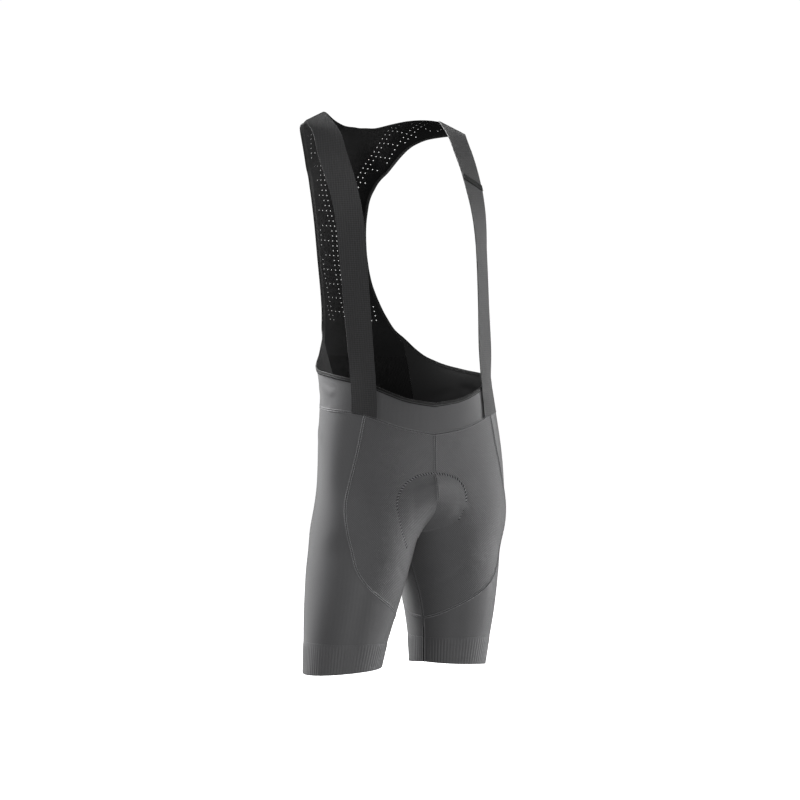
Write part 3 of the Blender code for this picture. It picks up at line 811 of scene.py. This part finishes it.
def perforate(name):
    """The panel's cloth in triangles, with its holes left out."""
    low, high = flat.min(axis=0), flat.max(axis=0)
    spots = [tuple(flat[i]) for i in rim]
    lines = [(i, (i + 1) % len(rim)) for i in range(len(rim))]
    rim_tree = tree_of([(*spot, 0) for spot in spots])
    centres = hole_centres(low, high, rim_tree)
    centre_tree = tree_of([(*spot, 0) for spot in centres])
    for a, b in centres:
        first = len(spots)
        for turn in np.linspace(0, 2 * pi, hole_sides, endpoint=False):
            spots.append((a + hole_half * cos(turn), b + hole_half * sin(turn)))
        lines.extend((first + i, first + (i + 1) % hole_sides) for i in range(hole_sides))
    for b in np.arange(low[1], high[1], mesh_grid):
        for a in np.arange(low[0], high[0], mesh_grid):
            clear = min(tree.find((a, b, 0))[2] for tree in (rim_tree, centre_tree))
            if clear >= mesh_margin and worn_place((a, b)) is not None:
                spots.append((a, b))
    cut = delaunay_2d_cdt([Vector(spot) for spot in spots], lines, [], 0, 1e-7)
    cut_spots, _, cut_faces, *_ = cut
    faces = []
    for face in cut_faces:
        centre = sum((cut_spots[i] for i in face), Vector((0, 0))) / 3
        off = centre_tree.find((*centre, 0))[2]
        if off > hole_half * in_hole and worn_place(centre) is not None:
            faces.append(face)
    lifted = []
    for spot in cut_spots:
        nearest = rim[rim_tree.find((*spot, 0))[1]]
        lifted.append(worn_place(spot) or Vector(places[nearest]))
    mesh = bpy.data.meshes.new(name)
    mesh.from_pydata(lifted, [], faces)
    layer = mesh.uv_layers.new(name="cloth")
    layer.data.foreach_set("uv", np.array([tuple(cut_spots[i]) for face in faces for i in face]).ravel())
    mesh.update()
    spine = max(mesh.polygons, key=lambda face: face.center.y)
    if spine.normal.y < 0:
        mesh.flip_normals()
    return mesh


panel.data = perforate("back_mesh_perforated")
close_cloth(panel, 0.8 * MM, black_mesh, "back_mesh")


# Edge tape: black elastic binding, folded over the cloth's edge from shoulder to
# shoulder by way of the band's top, and sewn down with two needles.
tape_black = Finish("tape_black", roughness=0.6, sheen=0.15)
u, v = tape_black.flat_pattern()
tape_line = u.step(1.6 * MM, 2.0 * MM) - u.step(2.9 * MM, 3.3 * MM)
tape_black.between(tape_line * (0.6 + 0.4 * v.wave(2.4 * MM)), 0.004, 0.05)
tape_black.raise_by(v.wave(1.6 * MM) * 0.5 + tape_line * 0.6, 0.25 * MM)


def rungs_of(strip):
    """The cross edges of a strip one face wide, in order, each as (side, other side)."""
    faces_at = {}
    for face in strip.data.polygons:
        for key in face.edge_keys:
            faces_at.setdefault(key, []).append(face.index)
    shared = {}
    for key, faces in faces_at.items():
        if len(faces) == 2:
            for face in faces:
                shared.setdefault(face, []).append(key)
    face = next(face for face in shared if len(shared[face]) == 1)

    def far_edge(face, key):
        return next(k for k in strip.data.polygons[face].edge_keys if not set(k) & set(key))

    rungs = [far_edge(face, shared[face][0])]
    while True:
        onward = [key for key in shared[face] if key != rungs[-1]]
        if not onward:
            break
        rungs.append(onward[0])
        face = next(f for f in faces_at[onward[0]] if f != face)
    rungs.append(far_edge(face, rungs[-1]))
    sides = [tuple(rungs[0])]
    for a, b in rungs[1:]:
        before = sides[-1][0]
        sides.append((a, b) if tuple(sorted((before, a))) in faces_at else (b, a))
    return np.array(sides)


def lengths_along(points):
    steps = np.linalg.norm(np.diff(points[:, :3], axis=0), axis=1)
    return np.concatenate([[0.0], steps.cumsum()])


def even_steps(run, step):
    """Even steps of about that length, from the start to the end of a run of lengths."""
    return np.linspace(0, run[-1], max(int(round(run[-1] / step)), 1) + 1)


def through(points, step):
    """A smooth curve through points at even steps. Its first three columns are places."""
    run = lengths_along(points)
    slope = np.gradient(points, run, axis=0)
    at = even_steps(run, step)
    low = np.clip(np.searchsorted(run, at, side="right") - 1, 0, len(run) - 2)
    span = (run[low + 1] - run[low])[:, None]
    t = (at - run[low])[:, None] / span
    rise = points[low + 1] - points[low]
    return (
        points[low]
        + rise * t**2 * (3 - 2 * t)
        + slope[low] * span * t * (1 - t) ** 2
        - slope[low + 1] * span * t**2 * (1 - t)
    )


tape_fold = 1.05 * MM
fold_steps = 7
# Across the tape, in mm: how far from where it meets the cloth, and how high it lies
# below its top. The fold comes between the two halves.
tape_half = [(-0.9, -0.5), (-0.75, -0.12), (-0.2, 0.0), (1.6, 0.05), (3.4, 0.05)]
strip = outer_wall("edge_tape", "edge_tape_strip", (0, -1, 0))
rungs = rungs_of(strip)
places, outward = points_of(strip), points_of(strip, "normal")
if places[rungs[len(rungs) // 2, 0], 2] < places[rungs[len(rungs) // 2, 1], 2]:
    rungs = rungs[:, ::-1]
rails = np.hstack([places[rungs[:, 0]], places[rungs[:, 1]], outward[rungs].mean(axis=1)])
rails = through(rails, 3 * MM)
tape_edge, tape_foot, tape_out = rails[:, :3], rails[:, 3:6], unit(rails[:, 6:])
bpy.data.objects.remove(strip)
to_edge = unit(tape_edge - tape_foot)
upper = [tape_foot + to_edge * (a * MM) + tape_out * (h * MM) for a, h in tape_half]
fold = [
    tape_edge + to_edge * (tape_fold * (sin(a) - 1)) - tape_out * (tape_fold * (1 - cos(a)))
    for a in np.linspace(0, pi, fold_steps)
]
under = [
    tape_foot + to_edge * (a * MM) - tape_out * (2 * tape_fold + h * MM)
    for a, h in tape_half[::-1]
]
rows = np.stack(upper + fold + under, axis=1)
tape = mesh_of_rows("edge_tape_cloth", rows, lengths_along(rows[0]), lengths_along(tape_edge))
half_way = len(rows) // 2
on_top = tape.data.polygons[half_way * (rows.shape[1] - 1) + 2]
if on_top.normal.dot(Vector(tape_out[half_way])) < 0:
    tape.data.flip_normals()
close_cloth(tape, 0.6 * MM, tape_black, "edge_tape")


# Braces: flat ribbed elastic straps from the shoulder seams down the front and over
# the band, sewn in at the waist seam.
strap_elastic = Finish("strap_elastic", roughness=0.6, sheen=0.3, specular=0.3)
u, v = strap_elastic.flat_pattern()
strap_elastic.raise_by(u.wave(2.6 * MM) + v.wave(1.3 * MM) * 0.4, 0.22 * MM)
strap_elastic.between(u.wave(2.6 * MM) * 0.4 + v.wave(3.1 * MM) * 0.4 + 0.1, 0.022, 0.062)

# Worn, each strap turns a little about its own middle line: height and degrees. That
# line is a smooth one through the solid, which is read down to strap_read_to.
strap_turns = {
    "strap_left": [(-0.36, 0), (-0.3, -2), (-0.2, -2), (-0.16, 2), (-0.11, 8), (-0.04, 8), (-0.005, 0)],
    "strap_right": [(-0.26, 0), (-0.19, 4), (-0.145, 9), (-0.1, 7), (-0.04, 5), (-0.005, 0)],
}
strap_read_to = -0.4
strap_line_degree = 5


def turn_strap(piece, node):
    """Turns a piece about the middle line of the strap that it belongs to."""
    places = points_of(piece)
    heights, degrees = np.array(strap_turns[node]).T
    solid = points_of(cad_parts[node])
    solid = solid[solid[:, 2] > strap_read_to]
    lines = [np.polyfit(solid[:, 2], solid[:, i], strap_line_degree) for i in (0, 1)]
    middle = np.column_stack([np.polyval(line, places[:, 2]) for line in lines])
    turn = np.radians(np.interp(places[:, 2], heights, degrees))
    off = places[:, :2] - middle
    places[:, 0] = middle[:, 0] + off[:, 0] * np.cos(turn) + off[:, 1] * np.sin(turn)
    places[:, 1] = middle[:, 1] + off[:, 1] * np.cos(turn) - off[:, 0] * np.sin(turn)
    move_points(piece, places)


for name in ("strap_left", "strap_right"):
    strap = outer_wall(name, name + "_cloth", (0, -1, 0))
    lay_flat(strap)
    smooth(strap, 3)
    turn_strap(strap, name)
    keep_edges(name, strap)
    close_cloth(strap, 1.5 * MM, strap_elastic, name)


# Brace tab: a small black woven tab sewn across the left strap.
tab_black = Finish("tab_black", roughness=0.55, sheen=0.05)
u, v = tab_black.flat_pattern()
tab_black.raise_by(u.wave(0.8 * MM) * 0.5 + v.wave(0.8 * MM) * 0.5, 0.12 * MM)
tab_black.between(u.wave(0.8 * MM), 0.004, 0.009)

tab = outer_wall("strap_tab", "strap_tab_cloth", (0, -1, 0))
lay_flat(tab)
smooth(tab, 2)
turn_strap(tab, "strap_left")
close_cloth(tab, 0.9 * MM, tab_black, "strap_tab")


# Seams: narrow flat seams. The two cloths' edges lie side by side with a fine groove
# between them, under rows of thread. The centre and the inner legs have a plain groove.
# Each groove's middle is coloured near black as painted shade.
def seam_finish(name, groove_half, shade):
    """A seam's cloth of that grey, with painted shade along its groove, which is coloured near black. u
    runs across it in mm.
    """
    finish = Finish(name, roughness=0.55, sheen=shade * 2)
    u, v = finish.flat_pattern()
    finish.raise_by(v.wave(2.5 * MM), 0.2 * MM)
    # Painted shade: the groove's middle is coloured near black, where the groove is shaded.
    finish.between(u.math("ABSOLUTE", u).step(groove_half - 0.2, groove_half + 0.2), 0.005, shade)
    return finish


flat_seam = seam_finish("seam_flat", 0.45, 0.14)
plain_seam = seam_finish("seam_plain", 1.1, 0.14)
black_seam = seam_finish("seam_black", 0.45, 0.012)
light_thread = Finish("thread_light", roughness=0.5, sheen=0.3, colour=0.36)
grey_thread = Finish("thread_grey", roughness=0.5, sheen=0.3, colour=0.17)
dark_thread = Finish("thread_dark", roughness=0.7, sheen=0.0, specular=0.15, colour=0.02)

# Half of each seam's cross section, in mm: how far out from its middle, and how high.
flat_profile = [(2.5, -0.7), (2.4, -0.1), (2.0, 0.3), (1.2, 0.4), (0.7, 0.2), (0.4, -0.25)]
plain_profile = [(2.5, -0.8), (2.4, -0.1), (2.0, 0.25), (1.5, 0.3), (1.1, 0.0), (0.9, -0.6)]
# Rows of thread along a seam: mm across, mm high, and slant in degrees.
seam_rows = [(-1.35, 0.42, 12), (1.35, 0.42, 12)]
inseam_raised = 0.2


def even_run(rows, step, closed=False):
    """Even steps along a run of points. Its first three columns are places."""
    if closed:
        rows = np.vstack([rows, rows[:1]])
    run = lengths_along(rows)
    at = even_steps(run, step)
    if closed:
        at = at[:-1]
    return np.column_stack([np.interp(at, run, column) for column in rows.T])


def soften(rows, times):
    """Evens out a run between its two ends, that many times."""
    for _ in range(times):
        rows[1:-1] = (rows[:-2] + 2 * rows[1:-1] + rows[2:]) / 4


def seam_run(first, others, side, reach=2.0 * MM):
    """The longest stretch where an edge of one piece runs beside the others' edges, on
    one side of the body if side isn't 0: places midway between them, and outward
    directions."""
    loops = [loop for node in others for loop in edges[node]]
    goal = np.vstack([even_run(loop, 0.5 * MM, closed=True) for loop in loops])
    tree = tree_of(goal[:, :3])
    best = []
    for loop in edges[first]:
        loop = even_run(loop, MM, closed=True)
        found = [tree.find(place) for place in loop[:, :3]]
        near = np.array([distance < reach for _, _, distance in found])
        if side:
            near &= loop[:, 0] * side > 0
        start = int(np.argmin(near))
        order = (np.arange(len(loop)) + start) % len(loop)
        run = []
        for i in order:
            if near[i]:
                run.append(i)
            if not near[i] or i == order[-1]:
                if len(run) > len(best):
                    best = run
                    beside = [found[k][1] for k in run]
                    middle = np.hstack([(loop[run, :3] + goal[beside, :3]) / 2, loop[run, 3:]])
                run = []
    soften(middle, 6)
    return even_run(middle, 2 * MM)


def lengthen(run, upper):
    """The run with its upper end carried on straight by that length."""
    if run[0, 2] < run[-1, 2]:
        run = run[::-1]
    ahead = unit(run[0, :3] - run[2, :3])
    first = run[0].copy()
    first[:3] += ahead * upper
    return even_run(np.vstack([first, run]), 2 * MM)


def directions_along(run):
    """A run's places, and its directions ahead, beside and out."""
    places, out = run[:, :3], unit(run[:, 3:])
    ahead = unit(np.gradient(places, axis=0))
    beside = unit(np.cross(ahead, out))
    return places, ahead, beside, np.cross(beside, ahead)


make_outward = (bpy.ops.mesh.normals_make_consistent, {"inside": False})


def trim(name, run, profile, finish):
    """A closed strip of that profile (mm across, mm high) along a run."""
    places, _, beside, out = directions_along(run)
    profile = [(-a, h) for a, h in profile] + profile[::-1]
    profile.append(profile[0])
    rows = np.stack([places + beside * (a * MM) + out * (h * MM) for a, h in profile], axis=1)
    piece = mesh_of_rows(name, rows, [a for a, _ in profile], lengths_along(places))
    merge = (bpy.ops.mesh.remove_doubles, {"threshold": merge_gap})
    close_ends = (bpy.ops.mesh.fill_holes, {"sides": len(profile)})
    edit_all(piece, merge, close_ends, make_outward)
    piece.data.materials.append(finish.material)
    pick(piece)
    bpy.ops.object.shade_smooth_by_angle(angle=radians(60))
    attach(piece, "root")


# One stitch, a small round bead 1 long along x.
bpy.ops.object.select_all(action="DESELECT")
bpy.ops.mesh.primitive_uv_sphere_add(segments=6, ring_count=4, radius=0.5)
stitch = bpy.context.object
stitch_points = points_of(stitch)[:, [2, 0, 1]]
stitch_faces = [list(face.vertices) for face in stitch.data.polygons]
bpy.data.objects.remove(stitch)


def sew(name, run, rows, finish, pitch=2.6, long=2.1, thick=0.45):
    """Rows of stitches along a run, as one piece. rows: mm across, mm high, and slant in
    degrees. pitch, long and thick are a stitch's measures in mm."""
    shapes = []
    places, ahead, beside, out = directions_along(even_run(run, pitch * MM))
    for over, high, slant in rows:
        turn = radians(slant)
        for i in range(len(places) - 1):
            along = ahead[i] * cos(turn) + beside[i] * sin(turn)
            sideways = beside[i] * cos(turn) - ahead[i] * sin(turn)
            axes = np.array([along * long, sideways * thick, out[i] * thick * 0.8]) * MM
            middle = (places[i] + places[i + 1]) / 2 + (beside[i] * over + out[i] * high) * MM
            shapes.append(stitch_points @ axes + middle)
    count = len(stitch_points)
    faces = [[k + n * count for k in face] for n in range(len(shapes)) for face in stitch_faces]
    mesh = bpy.data.meshes.new(name)
    mesh.from_pydata(np.vstack(shapes).tolist(), [], faces)
    piece = linked(name, mesh)
    edit_all(piece, make_outward)
    mesh.materials.append(finish.material)
    mesh.shade_smooth()
    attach(piece, "root")


lower = ["front_left", "front_right", "leg_left", "leg_right", "seat_left", "seat_right"]
light_sewn = (flat_seam, light_thread)
grey_sewn = (flat_seam, grey_thread)
black_sewn = (black_seam, dark_thread)
# Seams by name: the piece whose edge it follows, the pieces beside it, the side of the
# body, its finish and thread, and in mm how far its upper end goes on and how high it is
# raised.
seams = {
    "waist_seam": ("waistband", lower, 0, grey_sewn, 0, 0),
    "waist_seam_back": ("lower_back", ["seat_left", "seat_right"], 0, grey_sewn, 0, 0),
    "centre_front_seam": ("front_left", ["front_right"], 0, None, 0, 0),
    "centre_back_seam": ("seat_left", ["seat_right"], 0, None, 0, 0),
}
for side, word in ((1, "left"), (-1, "right")):
    seams["front_seam_" + word] = ("front_" + word, ["leg_" + word], 0, light_sewn, 0, 0)
    seams["seat_seam_" + word] = ("seat_" + word, ["leg_" + word], 0, grey_sewn, 0, 0)
    seams["crotch_seam_" + word] = ("front_" + word, ["seat_" + word], 0, None, 0, 0.3)
    seams["band_end_seam_" + word] = ("waistband", ["lower_back", "back_mesh"], side, black_sewn, 4.5, 0)
    seams["shoulder_seam_" + word] = ("strap_" + word, ["back_mesh"], 0, black_sewn, 0, 0)
for name, (first, others, side, looks, upper, raised) in seams.items():
    run = seam_run(first, others, side)
    run[:, :3] += unit(run[:, 3:]) * raised * MM
    if upper:
        run = lengthen(run, upper * MM)
    if looks is None:
        trim(name, run, plain_profile, plain_seam)
        continue
    trim(name, run, flat_profile, looks[0])
    sew(name + "_thread", run, seam_rows, looks[1], thick=0.7)
for word in ("left", "right"):
    run = even_run(inseams["leg_" + word], 2 * MM)
    run[:, :3] += unit(run[:, 3:]) * inseam_raised * MM
    trim("inseam_" + word, run, plain_profile, plain_seam)

sew("edge_tape_thread", np.hstack([tape_foot, tape_out]), [(0, 0.15, 0)], dark_thread)


# Pad stitching: slanting dark stitches round the seat pad's front, through the front
# panels, with light ones between them. The outline and its steps are in mm.
outline_step = 4
pad_pitch = 5.0
pad_rows = [(0, 0.1, 55)]
cast_from = -0.3

skins = []
for name in ("front_left_cloth", "front_right_cloth"):
    panel = bpy.data.objects[name]
    faces = [tuple(face.vertices) for face in panel.data.polygons]
    skins.append(BVHTree.FromPolygons(points_of(panel), faces))
outline = np.column_stack([np.array(pad_outline), np.zeros(len(pad_outline))])
run = []
for x, z, _ in even_run(outline, outline_step):
    start = Vector((x * MM, cast_from, z * MM))
    hits = [skin.ray_cast(start, Vector((0, 1, 0))) for skin in skins]
    place, out = min((hit for hit in hits if hit[0] is not None), key=lambda hit: hit[3])[:2]
    run.append((*place, *out))
run = np.array(run)
soften(run, 8)
sew("pad_thread", run, pad_rows, dark_thread, pitch=pad_pitch, long=5.2, thick=1.3)
run = even_run(run, pad_pitch / 2 * MM)[1:-1]
sew("pad_thread_light", run, pad_rows, light_thread, pitch=pad_pitch, long=4.6, thick=1.0)
